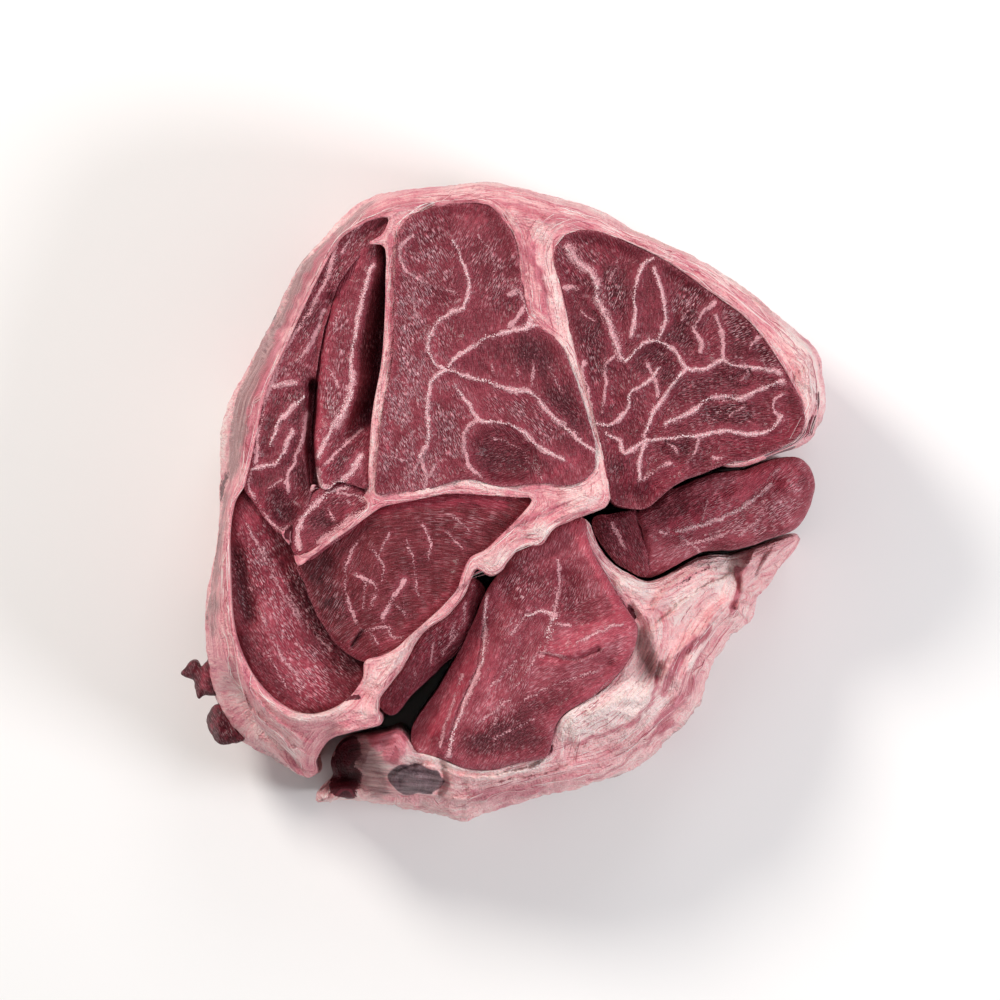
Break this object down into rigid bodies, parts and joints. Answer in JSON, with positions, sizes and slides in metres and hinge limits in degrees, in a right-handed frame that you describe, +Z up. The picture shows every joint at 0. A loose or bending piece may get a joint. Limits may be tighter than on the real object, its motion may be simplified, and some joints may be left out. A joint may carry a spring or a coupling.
{
  "type": "raw beef shank",
  "caption": "Thick piece of boned raw beef shank resting on its cut face: dark red muscles parted by pale fascia inside a fat cover, with a cleft where the bone was.",
  "frame": {"origin": "middle of the bounding box at the level of the underside, which is the cut face that the piece rests on", "axes": "+Z up out of the upper cut face, +Y towards the edge with the thick outer cover, +X towards the large marbled muscle"},
  "size_m": [0.1652, 0.1626, 0.0693],
  "materials": {
    "lean": "moist, fine fibre grain",
    "fascia": "moist, wrinkled membrane",
    "fat": "satin, soft folds"
  },
  "bodies": {
    "root": {"fascia_cover": "fascia", "fat_flap": "fat", "muscle_centre": "lean", "muscle_right": "lean", "muscle_outer": "lean", "muscle_lens": "lean", "muscle_corner": "lean", "muscle_middle": "lean", "muscle_side": "lean", "muscle_inner": "lean", "muscle_lower": "lean", "muscle_hollow_left": "lean", "muscle_hollow_right": "lean", "lean_tag_upper": "lean", "lean_tag_lower": "lean"}
  },
  "joints": []
}
